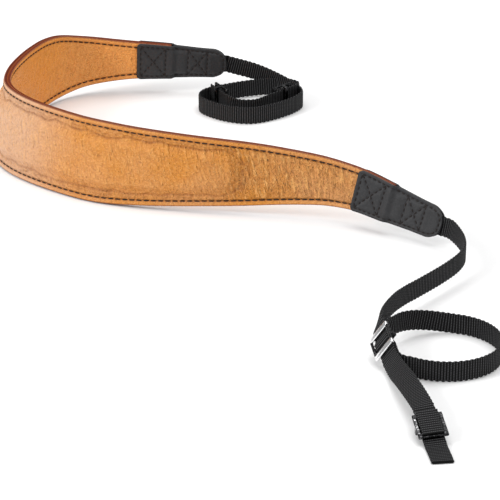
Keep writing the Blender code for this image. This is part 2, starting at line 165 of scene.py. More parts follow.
def place(frames, across, level):
    # Points on a strap: one row of across and level for each cross section
    middle, _, side, out = frames
    return middle[:, None] + side[:, None] * across[..., None] + out[:, None] * level[..., None]


def meshObject(name, points, faces, materials, slots=None, attributes=None):
    mesh = bpy.data.meshes.new(name)
    mesh.from_pydata(points.tolist(), [], faces)
    for material in materials:
        mesh.materials.append(material)
    if slots is not None:
        mesh.polygons.foreach_set("material_index", np.asarray(slots, dtype=np.int32))
    for key, values in (attributes or {}).items():
        layer = mesh.attributes.new(key, "FLOAT", "POINT")
        layer.data.foreach_set("value", np.asarray(values, dtype=np.float32))
    mesh.validate()
    mesh.shade_smooth()
    thing = bpy.data.objects.new(name, mesh)
    bpy.context.scene.collection.objects.link(thing)
    return thing


def dress(piece, node):
    # A piece in the place of its solid, on the strap's one body
    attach(piece, "root")
    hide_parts(node)


def strapSolid(name, frames, along, upper, lower, materials, closed=False, extra=None):
    # A closed solid between two faces, each given as its across and level with a row for
    # each cross section. Slot 0 is the faces and slot 1 the edges.
    rows = len(along)
    top = upper[0].shape[1]
    under = lower[0].shape[1]
    points = np.vstack([place(frames, across, level).reshape(-1, 3) for across, level in (upper, lower)])
    below = rows * top
    steps = rows if closed else rows - 1
    here = np.arange(steps)[:, None]
    after = (here + 1) % rows
    j = np.arange(top - 1)[None, :]
    i, k = here * top, after * top
    upperFaces = np.stack([i + j, k + j, k + j + 1, i + j + 1], axis=-1).reshape(-1, 4)
    j = np.arange(under - 1)[None, :]
    i, k = here * under + below, after * under + below
    lowerFaces = np.stack([i + j, i + j + 1, k + j + 1, k + j], axis=-1).reshape(-1, 4)
    here, after = here[:, 0], after[:, 0]
    near = np.stack([here * top, below + here * under, below + after * under, after * top], axis=-1)
    far = np.stack([(here + 1) * top - 1, (after + 1) * top - 1, below + (after + 1) * under - 1,
                    below + (here + 1) * under - 1], axis=-1)
    faces = np.vstack([upperFaces, lowerFaces, near, far]).tolist()
    edgeCount = len(near) + len(far)
    if not closed:
        end = (rows - 1) * top
        endBelow = below + (rows - 1) * under
        faces.append(list(range(top)) + [below + j for j in reversed(range(under))])
        faces.append([end + j for j in reversed(range(top))] + [endBelow + j for j in range(under)])
        edgeCount += 2
    slots = np.zeros(len(faces), dtype=np.int32)
    slots[len(faces) - edgeCount:] = 1 if len(materials) > 1 else 0
    attributes = {
        "along": np.concatenate([np.repeat(along, top), np.repeat(along, under)]),
        "across": np.concatenate([upper[0].ravel(), lower[0].ravel()]),
        "face": np.repeat([1.0, 0.0], [rows * top, rows * under]),
    }
    for key, (above, beneath) in (extra or {}).items():
        attributes[key] = np.concatenate([above.ravel(), beneath.ravel()])
    return meshObject(name, points, faces, materials, slots, attributes)


# Node tools

class Socket:
    # One output in a material, which takes part in sums as a number does
    def __init__(self, builder, output):
        self.builder = builder
        self.output = output

    def math(self, operation, other=None, swapped=False):
        inputs = [self] if other is None else [other, self] if swapped else [self, other]
        return self.builder.node("ShaderNodeMath", {"operation": operation}, inputs)

    def __add__(self, other):
        return self.math("ADD", other)

    def __radd__(self, other):
        return self.math("ADD", other, True)

    def __sub__(self, other):
        return self.math("SUBTRACT", other)

    def __rsub__(self, other):
        return self.math("SUBTRACT", other, True)

    def __mul__(self, other):
        return self.math("MULTIPLY", other)

    def __rmul__(self, other):
        return self.math("MULTIPLY", other, True)

    def absolute(self):
        return self.math("ABSOLUTE")

    def sine(self):
        return self.math("SINE")

    def between(self, low, high):
        # 0 at low, 1 at high and a smooth rise between them
        return self.builder.node("ShaderNodeMapRange", {"interpolation_type": "SMOOTHSTEP"},
                                 {"Value": self, 1: low, 2: high, 3: 0.0, 4: 1.0})


class Builder:
    # One material, with a method that makes each kind of node
    def __init__(self, name):
        self.material = bpy.data.materials.new(name)
        self.material.use_nodes = True
        self.tree = self.material.node_tree
        self.shader = self.tree.nodes["Principled BSDF"]

    def node(self, kind, settings=None, inputs=None, output=0):
        made = self.tree.nodes.new(kind)
        for key, value in (settings or {}).items():
            setattr(made, key, value)
        pairs = inputs.items() if isinstance(inputs, dict) else enumerate(inputs or [])
        for key, value in pairs:
            self.put(made.inputs[key], value)
        return Socket(self, made.outputs[output])

    def put(self, target, value):
        if isinstance(value, Socket):
            self.tree.links.new(value.output, target)
        else:
            target.default_value = value

    def attribute(self, name):
        return self.node("ShaderNodeAttribute", {"attribute_name": name}, output="Fac")

    def vector(self, x, y, z):
        return self.node("ShaderNodeCombineXYZ", {}, [x, y, z])

    def noise(self, where, scale, detail=2.0, roughness=0.5, distortion=0.0):
        return self.node("ShaderNodeTexNoise", {}, {"Vector": where, "Scale": scale, "Detail": detail,
                                                    "Roughness": roughness, "Distortion": distortion})

    def cells(self, where, scale):
        return self.node("ShaderNodeTexVoronoi", {"feature": "SMOOTH_F1"}, {"Vector": where, "Scale": scale})

    def mix(self, share, first, second):
        inputs = {0: share, 6: (*first, 1.0) if isinstance(first, tuple) else first,
                  7: (*second, 1.0) if isinstance(second, tuple) else second}
        return self.node("ShaderNodeMix", {"data_type": "RGBA", "clamp_factor": True}, inputs, 2)

    def bump(self, height, depth, strength=1.0, normal=None):
        inputs = {"Height": height, "Distance": depth, "Strength": strength}
        if normal is not None:
            inputs["Normal"] = normal
        return self.node("ShaderNodeBump", {}, inputs)

    def position(self):
        return self.node("ShaderNodeNewGeometry", output="Position")

    def finish(self, **looks):
        names = {"colour": "Base Color", "roughness": "Roughness", "metallic": "Metallic", "normal": "Normal",
                 "specular": "Specular IOR Level"}
        for key, value in looks.items():
            if isinstance(value, tuple):
                value = (*value, 1.0)
            self.put(self.shader.inputs[names[key]], value)
        return self.material


# Materials

def padLeather(name, look, paleToneAndSheen):
    # look holds the colours and the grain, and the last argument says where the leather is painted paler: its
    # own tone, and a painted sheen on the outer leather's bend
    b = Builder(name)
    along = b.attribute("along")
    across = b.attribute("across")
    face = b.attribute("face")
    rim = b.attribute("rim")
    crease = b.attribute("crease")
    where = b.vector(along, across, face * 0.5)
    streaked = b.vector(along + across * 0.22, across * 0.26, face * 0.5)
    cloud = b.noise(where, 26.0, 3.0, 0.55)
    mottle = b.noise(where, 320.0, 4.0, 0.65)
    pebble = b.cells(where, look["pebble"])
    fine = b.noise(where, 1700.0, 3.0, 0.65)
    streak = b.noise(streaked, look["streak"], 3.0, 0.6, 0.5)
    loose = along.between(look["looseFrom"], look["looseTo"])
    colour = b.mix(cloud.between(0.34, 0.66) * 0.22, look["warm"], look["pale"])
    # Paler tone, and on the outer leather's bend a painted sheen
    colour = b.mix(paleToneAndSheen(along), colour, look["pale"])
    grained = rim.between(2.2 * mm, 4.2 * mm) * 0.75 + 0.25
    colour = b.mix(mottle.between(0.42, 0.75) * 0.14, colour, look["deep"])
    # Painted shade in the hollows of the grain and painted highlights on its tops
    colour = b.mix(pebble.between(0.42, 0.75) * grained * 0.24, colour, look["deep"])
    colour = b.mix((1.0 - pebble.between(0.10, 0.34)) * grained * 0.42, colour, look["light"])
    # Painted shade in the valleys of the fine wrinkles and painted highlights on their crests
    valley = (1.0 - streak.between(0.34, 0.46)) * grained
    crest = streak.between(0.52, 0.64) * grained
    colour = b.mix(valley * (loose * 0.16 + 0.06), colour, look["deep"])
    colour = b.mix(crest * (loose * 0.44 + 0.22), colour, look["light"])
    # Painted shade in the creases
    colour = b.mix(crease * 0.58, colour, look["fold"])
    # Painted shade along the groove of the seam
    seam = 1.0 - (rim - stitching["padInset"]).absolute().between(0.2 * mm, 1.2 * mm)
    colour = b.mix(seam * 0.50, colour, look["deep"])
    colour = b.mix((1.0 - rim.between(0.1 * mm, 0.8 * mm)) * 0.9, colour, look["edge"])
    height = (1.0 - pebble) * 0.55 + fine * 0.20
    bumped = b.bump(height, 1.4 * mm)
    bumped = b.bump(streak * grained * (loose * 0.9 + 0.6), 2.4 * mm, 1.0, bumped)
    roughness = 0.33 + mottle * 0.18
    return b.finish(colour=colour, roughness=roughness, specular=0.42, normal=bumped)


def paintedEdge(name, colour):
    # Uneven paint on the cut edge of a leather
    b = Builder(name)
    where = b.position()
    rough = b.noise(where, 700.0, 3.0, 0.6)
    shade = b.mix(rough.between(0.3, 0.75) * 0.55, colour, tuple(c * 0.45 for c in colour))
    return b.finish(colour=shade, roughness=0.6, specular=0.15, normal=b.bump(rough, 0.3 * mm, 0.5))


def blackLeather(name, look):
    # Fine grain with slightly paler tops
    b = Builder(name)
    along = b.attribute("along")
    across = b.attribute("across")
    where = b.vector(along, across, b.attribute("face"))
    grain = b.cells(where, look["grainScale"])
    fine = b.noise(where, 2600.0, 2.0, 0.6)
    cloud = b.noise(where, 60.0, 3.0, 0.5)
    colour = b.mix(cloud, look["dark"], look["pale"])
    colour = b.mix(grain.between(0.2, 0.9) * 0.4, colour, look["grain"])
    return b.finish(colour=colour, roughness=look["roughness"] + fine * 0.12, specular=0.34,
                    normal=b.bump(grain * 0.6 + fine * 0.4, 0.3 * mm, 0.7))


def blackWebbing(name, look):
    # Painted shade in the valleys between the ribs, paler ribs, and painted highlights where yarns and flecks
    # on the rib crests catch the light
    b = Builder(name)
    along = b.attribute("along")
    across = b.attribute("across")
    where = b.vector(along, across, b.attribute("face"))
    ribTurn = along * (math.pi / webbing["ribPitch"])
    rib = ribTurn.sine().absolute()
    yarn = (across * (2 * math.pi / look["yarnPitch"]) + ribTurn).sine() * 0.5 + 0.5
    fuzzGlint = b.noise(where, 2600.0, 3.0, 0.65)
    colour = b.mix(rib.between(0.45, 0.98), look["valley"], look["rib"])
    colour = b.mix(yarn * rib.between(0.84, 1.0) * 0.80, colour, look["yarn"])
    # Painted highlight flecks on the crests
    colour = b.mix(fuzzGlint.between(0.58, 0.80) * rib.between(0.6, 1.0) * 0.5, colour, look["fuzzGlint"])
    height = rib * 0.3 + yarn * 0.35 + fuzzGlint * 0.35
    return b.finish(colour=colour, roughness=look["roughness"], specular=0.12,
                    normal=b.bump(height, 0.25 * mm, 0.8))


def polishedMetal(name, look):
    # Plating that is smeared in places, with specks in its colour: darker specks on the chrome and painted
    # glints on the dark metals
    b = Builder(name)
    where = b.position()
    smear = b.noise(where, 260.0, 3.0, 0.5)
    speckAndGlintMask = b.noise(where, 900.0, 3.0, 0.6)
    return b.finish(colour=b.mix(speckAndGlintMask.between(0.50, 0.72), look["colour"], look["speckAndGlint"]), metallic=1.0,
                    roughness=look["roughness"] + smear * look["smear"],
                    normal=b.bump(smear * 0.6 + speckAndGlintMask * 0.4, 0.12 * mm, 0.25))


def blackThread(name, look):
    # Waxed thread, with its twist as fine unevenness
    b = Builder(name)
    where = b.position()
    twist = b.noise(where, 3500.0, 2.0, 0.5)
    return b.finish(colour=b.mix(twist, look["dark"], look["pale"]), roughness=0.6, specular=0.25,
                    normal=b.bump(twist, 0.1 * mm, 0.5))


# Sizes of the pieces. The main ones are the solids' own.

pad = {
    "length": 414.0 * mm,
    "width": 44.5 * mm,
    "outerThickness": 1.3 * mm,
    "fillingThickness": 0.8 * mm,
    "liningThickness": 1.2 * mm,
    "bulge": 2.2 * mm,
    "paddingFrom": 0.20,  # shares of the pad's length
    "paddingTo": 0.80,
    "paddingShare": 0.66,  # shares of its half width: the padding's foot and its flat top
    "topShare": 0.44,
}
tab = {
    "length": 53.0 * mm,
    "width": 22.5 * mm,
    "thickness": 1.1 * mm,
    "overlap": 20.0 * mm,  # the stretch that lies over the pad
    "corner": 2.5 * mm,
    "pastPad": 0.3 * mm,
    "stepDown": 3.6 * mm,
    "pocketRoom": 0.4 * mm,
    "closedShare": 0.72,  # of the half width, where the two leaves meet
    "boxes": ((2.2 * mm, 16.8 * mm), (30.0 * mm, 41.5 * mm)),
}
stitching = {
    "radius": 0.34 * mm,
    "padInset": 2.9 * mm,
    "padPitch": 3.9 * mm,
    "padDash": 3.25 * mm,
    "padEnd": 0.044,  # share of the pad's length before the first stitch, which a tab covers
    "tabInset": 1.8 * mm,
    "tabPitch": 2.9 * mm,
    "tabDash": 2.1 * mm,
}
webbing = {
    "width": 10.0 * mm,
    "thickness": 1.2 * mm,
    "inTab": 30.0 * mm,
    "backLength": 289.0 * mm,
    "frontLength": 262.0 * mm,
    "ribPitch": 1.35 * mm,
    "ribHeight": 0.24 * mm,
    "scallop": 0.17 * mm,
    "tailHump": 1.3 * mm,
}
loop = {
    "diameter": 54.0 * mm,
    "offset": 2.0 * mm,
    "easing": 12.0 * mm,
    "lift": 4.5 * mm,
    "settling": 36.0 * mm,
}
slider = {
    "length": 15.0 * mm,
    "bar": 2.2 * mm,
    "broadBar": 2.9 * mm,  # outer bars of the front and tail sliders
    "thickness": 1.5 * mm,
    "rail": 1.4 * mm,
    "sideRoom": 0.5 * mm,
    "tailSideRoom": 0.12 * mm,
    "barRound": 0.62 * mm,
    "railRound": 0.5 * mm,
    "legRound": 0.4 * mm,
    "front": 0.593,  # places of the sliders as shares of their webbing's length
    "tail": 0.900,
    "back": 0.786,
    "backEnd": 0.966,
}
gap = 0.3 * mm
stack = pad["outerThickness"] + pad["fillingThickness"] + pad["liningThickness"] + 2 * gap
tabReach = tab["length"] - tab["overlap"]
leatherLength = pad["length"] + 2 * tabReach
layerPitch = webbing["thickness"] + gap
flatReach = slider["length"] / 2 + 1.0 * mm


# Courses of the leather and of the two webbings

courseColumns = ("share", "heading", "rise", "lean")
leatherRows = (
    (0.000, 181.0, 0.78, 2.0),
    (0.105, 181.0, 0.90, 3.0),
    (0.150, 190.0, 0.92, 3.0),
    (0.190, 216.0, 0.95, 3.0),
    (0.235, 241.0, 0.99, 4.0),
    (0.285, 251.0, 1.00, 6.0),
    (0.340, 256.0, 1.00, 7.0),
    (0.390, 268.0, 1.00, 9.0),
    (0.435, 293.0, 1.00, 10.0),
    (0.475, 308.0, 1.00, 11.0),
    (0.510, 316.0, 1.00, 11.0),
    (0.560, 322.0, 1.00, 10.0),
    (0.620, 340.0, 1.00, 8.0),
    (0.680, 348.0, 1.00, 6.0),
    (0.735, 351.0, 1.00, 5.0),
    (0.795, 349.0, 1.01, 7.0),
    (0.840, 345.0, 1.00, 9.0),
    (0.880, 336.0, 0.94, 12.0),
    (0.930, 325.0, 0.76, 15.0),
    (1.000, 325.0, 0.50, 15.0),
)
outlineColumns = ("share", "width")
padOutline = (
    (0.000, 0.46),
    (0.048, 0.51),
    (0.075, 0.56),
    (0.120, 0.68),
    (0.180, 0.88),
    (0.230, 0.96),
    (0.290, 1.00),
    (0.600, 1.00),
    (0.670, 0.94),
    (0.737, 0.86),
    (0.800, 0.78),
    (0.870, 0.65),
    (0.930, 0.54),
    (0.952, 0.51),
    (1.000, 0.46),
)
tabOutline = (
    (0.00, 1.00),
    (0.40, 0.90),
    (0.75, 0.79),
    (1.00, 0.76),
)
backRows = (
    (0.000, 0.0, 1.00, -2.0),
    (0.025, -6.0, 0.85, 0.0),
    (0.076, -27.0, 0.60, 0.0),
    (0.131, -38.0, 0.30, 0.0),
    (0.169, -52.0, 0.10, 0.0),
    (0.188, -80.0, 0.02, 0.0),
    (0.209, -114.0, 0.00, 0.0),
    (0.264, -136.0, 0.00, 0.0),
    (0.321, -152.0, 0.00, 0.0),
    (0.362, -190.0, 0.00, 0.0),
    (0.412, -218.0, 0.00, 0.0),
    (0.458, -236.0, 0.00, 0.0),
    (0.499, -285.0, 0.00, 0.0),
    (0.544, -330.0, 0.00, 0.0),
    (0.590, -338.0, 0.02, 0.0),
    (0.678, -372.0, 0.12, 0.0),
    (0.719, -405.0, 0.18, 0.0),
    (0.745, -455.0, 0.18, 0.0),
    (0.780, -494.0, 0.18, 0.0),
    (0.830, -494.0, 0.18, 0.0),
    (0.871, -530.0, 0.10, 0.0),
    (0.896, -556.0, 0.10, 0.0),
    (0.927, -586.0, 0.18, 0.0),
    (0.963, -603.0, 0.18, 0.0),
    (1.000, -612.0, 0.18, 0.0),
)
frontRows = (
    (0.000, 0.0, 1.00, 15.0),
    (0.015, -14.0, 0.98, 13.0),
    (0.030, -33.0, 0.94, 10.0),
    (0.088, -46.0, 0.82, 3.0),
    (0.126, -62.0, 0.75, 0.0),
    (0.153, -75.0, 0.72, 0.0),
    (0.202, -88.0, 0.66, 0.0),
    (0.267, -92.0, 0.63, 0.0),
    (0.328, -93.0, 0.63, 0.0),
    (0.370, -85.0, 0.72, 0.0),
    (0.424, -75.0, 1.00, 0.0),
    (0.489, -73.0, 1.30, 4.0),
    (0.534, -64.0, 1.38, 14.0),
    (0.565, -50.0, 1.25, 24.0),
    (0.593, -43.5, 0.95, 30.0),
    (0.640, -42.0, 0.35, 32.0),
    (0.680, -42.0, 0.42, 42.0),
    (0.740, -42.0, 0.85, 60.0),
    (0.845, -43.0, 1.20, 80.0),
    (0.900, -44.5, 0.58, 86.0),
    (0.945, -46.5, 0.06, 89.0),
    (1.000, -47.5, 0.00, 90.0),
)


def leatherCourse(start):
    table = columns(courseColumns, leatherRows)

    def column(name):
        return lambda along: smooth(table["share"], table[name], along / leatherLength)

    def height(along):
        return pad["width"] / 2 * column("rise")(along) * np.cos(np.radians(column("lean")(along)))

    return Course(leatherLength, column("heading"), height, column("lean"), start)


def webbingCourse(rows, length, start, flatAt, heading, height):
    table = columns(courseColumns, rows)

    def column(name, along):
        return smooth(table["share"], table[name], along / length)

    def courseHeight(along):
        # Half the webbing's height as it stands or leans, and what it is raised by
        lean = np.radians(column("lean", along))
        onEdge = webbing["width"] / 2 * np.abs(np.cos(lean))
        onFace = webbing["thickness"] / 2 * np.abs(np.sin(lean))
        return onEdge + onFace + (height - webbing["width"] / 2) * column("rise", along)

    return Course(length, lambda along: heading + column("heading", along), courseHeight,
                  lambda along: column("lean", along), start, [share * length for share in flatAt], flatReach)


def padHalfWidth(along):
    # Half the width of the pad, which narrows toward its ends
    table = columns(outlineColumns, padOutline)
    return pad["width"] / 2 * smooth(table["share"], table["width"], along / pad["length"])


def tabHalfWidth(fromPad):
    # Half the width of a tab, with round corners on the pad and a round tip
    table = columns(outlineColumns, tabOutline)
    half = tab["width"] / 2 * smooth(table["share"], table["width"], fromPad / tab["length"])
    corner = np.clip(tab["corner"] - fromPad, 0, tab["corner"])
    half = half - tab["corner"] + np.sqrt(tab["corner"]**2 - corner**2)
    tip = tab["width"] / 2 * tabOutline[-1][1]
    past = np.clip(fromPad - (tab["length"] - tip), 0, tip)
    return half - tip + np.sqrt(np.maximum(tip**2 - past**2, 0))


def settledStart():
    # Where the leather starts, found by laying its lining into the CAD lining's box
    trial = leatherCourse((0.0, 0.0))
    stations = np.linspace(0, pad["length"], 60)
    half = padHalfWidth(stations)[:, None]
    across = half * np.array([-1.0, 1.0])
    faces = [place(trial.frame(stations + tabReach), across, 0 * across - stack / 2 + level)
             for level in (0.0, pad["liningThickness"])]
    points = np.vstack([face.reshape(-1, 3) for face in faces])
    low, high = (np.array(corner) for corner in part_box("lining_leather"))
    return (low + high) / 2 - (points.min(axis=0) + points.max(axis=0)) / 2


class Shifted:
    # A course moved to its place in the frame
    def __init__(self, course, shift):
        self.course = course
        self.shift = shift
        self.length = course.length

    def frame(self, along):
        middle, ahead, side, out = self.course.frame(along)
        return [middle + self.shift, ahead, side, out]


shift = settledStart()
leatherRaw = leatherCourse((0.0, 0.0))
tipPoint, tipAhead, _, _ = frameAt(leatherRaw, 0.0)
backRaw = webbingCourse(backRows, webbing["backLength"], tipPoint, (slider["back"], slider["backEnd"]),
                        math.degrees(math.atan2(-tipAhead[1], -tipAhead[0])), tipPoint[2])
tipPoint, tipAhead, _, _ = frameAt(leatherRaw, leatherLength)
frontRaw = webbingCourse(frontRows, webbing["frontLength"], tipPoint, (slider["front"], slider["tail"]),
                         math.degrees(math.atan2(tipAhead[1], tipAhead[0])), tipPoint[2])
leather = Shifted(leatherRaw, shift)
backCourse = Shifted(backRaw, shift)
frontCourse = Shifted(frontRaw, shift)
print("courses laid, shift", [round(float(v), 4) for v in shift])


# Looks

# In both leather looks, deep and light also serve as painted shade and painted highlights on the grain, the
# wrinkles and the seam's groove, and fold is painted shade in the creases
outerLook = {
    "warm": (0.64, 0.238, 0.024),
    "pale": (0.70, 0.400, 0.230),
    "deep": (0.30, 0.080, 0.010),
    "light": (0.88, 0.440, 0.130),
    "fold": (0.24, 0.070, 0.016),
    "edge": (0.20, 0.045, 0.012),
    "pebble": 1000.0,  # grains and streaks to the metre
    "streak": 620.0,
    "looseFrom": 0.300,  # metres along the pad between which the leather gets looser
    "looseTo": 0.345,
}
liningLook = {
    "warm": (0.82, 0.285, 0.022),
    "pale": (0.78, 0.370, 0.120),
    "deep": (0.46, 0.125, 0.012),
    "light": (0.92, 0.430, 0.110),
    "fold": (0.24, 0.070, 0.016),
    "edge": (0.24, 0.060, 0.014),
    "pebble": 900.0,
    "streak": 460.0,
    "looseFrom": 0.9,
    "looseTo": 1.0,
}
edgeColours = {
    "painted": (0.150, 0.018, 0.002),
    "filling": (0.30, 0.060, 0.008),
}
tabLook = {
    "dark": (0.015, 0.015, 0.016),
    "pale": (0.027, 0.027, 0.029),
    "grain": (0.040, 0.040, 0.043),
    "grainScale": 1100.0,
    "roughness": 0.50,
}
# valley is painted shade between the ribs, and the two paler colours after rib are painted highlights on the
# rib crests
webbingLook = {
    "valley": (0.0010, 0.0010, 0.0010),
    "rib": (0.012, 0.012, 0.013),
    "yarn": (0.120, 0.120, 0.124),
    "fuzzGlint": (0.100, 0.100, 0.104),
    "yarnPitch": 0.85 * mm,
    "roughness": 0.55,
}
# Each look's second colour is for its specks: darker on the chrome, and painted glints on the dark metals
metalLooks = {
    "chrome": {"colour": (0.88, 0.88, 0.89), "speckAndGlint": (0.62, 0.62, 0.63),
               "roughness": 0.10, "smear": 0.12},
    "dark_metal": {"colour": (0.02, 0.02, 0.021), "speckAndGlint": (0.16, 0.16, 0.165),
                   "roughness": 0.18, "smear": 0.15},
    "glint_speck_metal": {"colour": (0.06, 0.06, 0.062), "speckAndGlint": (0.70, 0.70, 0.71),
                   "roughness": 0.14, "smear": 0.15},
}
threadLook = {
    "dark": (0.006, 0.004, 0.004),
    "pale": (0.026, 0.018, 0.015),
}


def bendSheenAndPaleFront(along):
    # Painted sheen: the outer leather is painted paler round the bend in place of the key light's sheen
    # there, and a little paler toward the front tab
    bend = along.between(0.14, 0.185) - along.between(0.194, 0.246)
    return bend * 0.95 + along.between(0.33, 0.40) * 0.20


def endsArePale(along):
    # The lining is paler near the back tab
    return (1.0 - along.between(0.03, 0.12)) * 0.45


outerMaterial = padLeather("outer_leather_look", outerLook, bendSheenAndPaleFront)
liningMaterial = padLeather("lining_look", liningLook, endsArePale)
darkEdge = paintedEdge("painted_edge", edgeColours["painted"])
brownCore = paintedEdge("filling_edge", edgeColours["filling"])
tabMaterial = blackLeather("black_leather_look", tabLook)
webbingMaterial = blackWebbing("black_webbing_look", webbingLook)
chrome, darkMetal, glintSpeckMetal = (polishedMetal(name + "_look", look) for name, look in metalLooks.items())
thread = blackThread("thread_look", threadLook)
print("materials made")


# Surface of the pad

paddingFrom = pad["paddingFrom"] * pad["length"]
paddingTo = pad["paddingTo"] * pad["length"]
padRelief = {
    "seam": 0.36 * mm,
    "besideSeam": 0.12 * mm,
    "edgeRound": 0.5 * mm,
    "edgeDrop": 0.42 * mm,
    "crease": 0.90 * mm,
    "creaseWave": 6.0 * mm,  # how far along a crease it takes to wander, and how far it strays
    "creaseWander": 2.8 * mm,
    "wrinkle": 0.19 * mm,
    "liningWrinkle": 0.14 * mm,
    "wrinklePitch": 1.6 * mm,
    "wrinkleRun": 7.0 * mm,
    "calm": 0.25,  # share of the wrinkles that the padded stretch keeps
    "looseFrom": 0.74,  # shares of the pad's length between which the wrinkles grow
    "looseTo": 0.84,
}


def insidePadding(along, across, half):
    # Distance inside the padding's outline, which ends in half rounds, and how far round
    # the end a place is: 0 on the straight sides and 1 at the tip
    wide = pad["paddingShare"] * half
    nearEnd = np.maximum(along - (paddingTo - wide), paddingFrom + wide - along) / wide
    nearEnd = np.maximum(nearEnd, 0.0)
    reach = np.hypot(nearEnd, across / wide)
    return wide * (1 - reach), nearEnd / np.maximum(reach, 1e-6)


def bulgeAt(along, across, half):
    # The rise of the outer leather over the padding
    inside, _ = insidePadding(along, across, half)
    return pad["bulge"] * ramp(inside, 0.0, (pad["paddingShare"] - pad["topShare"]) * pad["width"] / 2)


def creaseDepth(along, across, half):
    # Folds at the foot of the padding: a wandering line along its sides, and bow-shaped
    # lines with short ones across them round its ends. Each is a share of the deepest.
    inside, aroundEnd = insidePadding(along, across, half)
    wave = patches(along / padRelief["creaseWave"], across / (30.0 * mm), 3) - 0.5
    wander = wave * padRelief["creaseWander"]
    broken = 0.50 + 0.50 * patches(along / (4.0 * mm), np.sign(across) * 4.0, 5)
    sides = bell(inside + wander, -0.6 * mm, 0.7 * mm) * broken * (1 - 0.5 * aroundEnd)
    second = bell(inside + 1.4 * wander, -2.6 * mm, 0.6 * mm) * ramp(broken, 0.55, 0.9) * 0.6
    angle = np.arctan2(across, 6.0 * mm + 0 * along)
    bows = 0.0
    for far, deep, seed in ((-1.0 * mm, 0.9, 11), (-2.9 * mm, 0.7, 12), (-5.0 * mm, 0.45, 13)):
        cut = ramp(patches(angle * 4.0, 0 * along, seed), 0.25, 0.6)
        bows = bows + deep * cut * bell(inside + 0.6 * wander, far, 0.75 * mm)
    bows = bows * ramp(aroundEnd, 0.30, 0.65)
    spokes = ramp(patches(angle * 16.0, inside / (9.0 * mm), 21), 0.55, 0.85)
    spokes = spokes * bell(inside, -2.0 * mm, 2.6 * mm) * ramp(aroundEnd, 0.15, 0.5) * 0.7
    return np.clip(np.maximum(np.maximum(sides, second), np.maximum(bows, spokes)), 0.0, 1.0)


def wrinkles(along, across):
    # Cross wrinkles of bent leather, which wander and break up
    drift = (patches(along / (12.0 * mm), across / (9.0 * mm), 31) - 0.5) * 4.0 * mm
    pitch, run = padRelief["wrinklePitch"], padRelief["wrinkleRun"]
    ridges = patches((along + drift) / pitch, across / run, 32) - 0.5
    broad = patches((along + drift) / (4.5 * mm), across / (13.0 * mm), 33) - 0.5
    return ridges + broad * 0.45


def rounding(rim, radius):
    # A quarter round from 1 at the rim to 0 at the radius inside it
    return 1 - np.sqrt(np.clip(1 - (1 - np.clip(rim / radius, 0, 1)) ** 2, 0, 1))


def leatherRelief(along, across, half, side):
    # What a leather stands out by: its seam's groove, its rounded rim, creases and wrinkles
    rim = half - np.abs(across)
    relief = padRelief["besideSeam"] * bell(rim, 1.5 * mm, 0.9 * mm)
    relief = relief - padRelief["seam"] * bell(rim, stitching["padInset"], 0.7 * mm)
    relief = relief - padRelief["edgeDrop"] * rounding(rim, padRelief["edgeRound"])
    kept = ramp(rim, 2.6 * mm, 5.5 * mm)
    if side > 0:
        crease = creaseDepth(along, across, half) * ramp(rim, 3.2 * mm, 4.8 * mm)
        loosened = ramp(along, padRelief["looseFrom"] * pad["length"], padRelief["looseTo"] * pad["length"])
        loose = padRelief["calm"] + (1 - padRelief["calm"]) * loosened
        relief = relief - padRelief["crease"] * crease
        return relief + padRelief["wrinkle"] * wrinkles(along, across) * loose * kept
    return relief + padRelief["liningWrinkle"] * wrinkles(along * 0.7, across) * kept


rimColumns = np.array([0.0, 0.08, 0.2, 0.36, 0.6, 1.0, 1.5, 1.9, 2.3, 2.6, 2.9, 3.2, 3.5, 3.9, 4.5]) * mm


def padAcross(half, middleCount):
    # Places across the pad, close together at its rims
    inner = half - rimColumns[-1]
    middle = np.linspace(-inner, inner, middleCount + 2, axis=-1)[:, 1:-1]
    low = -half[:, None] + rimColumns
    return np.hstack([low, middle, -low[:, ::-1]])


def padSheet(name, node, base, thickness, side, materials, step, middleCount, inset=0.0):
    # side is 1 for a layer whose upper face shows, -1 for its lower face and 0 for neither
    stations = np.linspace(0, pad["length"], int(pad["length"] / step) + 1)
    half = padHalfWidth(stations) - inset
    fineAcross = padAcross(half, middleCount)
    plainAcross = half[:, None] * np.linspace(-1, 1, 9)
    frames = leather.frame(stations + tabReach)
    faces = []
    rims = []
    creases = []
    for facing, level in ((1, base + thickness), (-1, base)):
        shown = side == facing
        across = fineAcross if shown else plainAcross
        alongGrid = stations[:, None] + 0 * across
        halfGrid = half[:, None] + 0 * across
        lift = bulgeAt(alongGrid, across, halfGrid) if side >= 0 else 0 * across
        relief = leatherRelief(alongGrid, across, halfGrid, side) if shown else 0 * across
        faces.append((across, level + lift + facing * relief))
        rims.append(halfGrid - np.abs(across))
        creases.append(creaseDepth(alongGrid, across, halfGrid) if shown and side > 0 else 0 * across)
    piece = strapSolid(name, frames, stations, *faces, materials, extra={"rim": rims, "crease": creases})
    dress(piece, node)
    return piece


liningBase = -stack / 2
fillingBase = liningBase + pad["liningThickness"] + gap
outerBase = fillingBase + pad["fillingThickness"] + gap
visibleGap = 0.02 * mm
lining = padSheet("lining", "lining_leather", liningBase, pad["liningThickness"] + gap - visibleGap, -1,
                  [liningMaterial, darkEdge], 1.0 * mm, 30)
padSheet("filling", "pad_filling", fillingBase, pad["fillingThickness"], 0, [brownCore, brownCore],
         3.0 * mm, 10, 0.15 * mm)
outer = padSheet("outer_leather_skin", "outer_leather", outerBase - gap + visibleGap,
                 pad["outerThickness"] + gap - visibleGap, 1, [outerMaterial, darkEdge], 0.65 * mm, 62)
print("pad made", len(outer.data.polygons), len(lining.data.polygons))


# Tabs

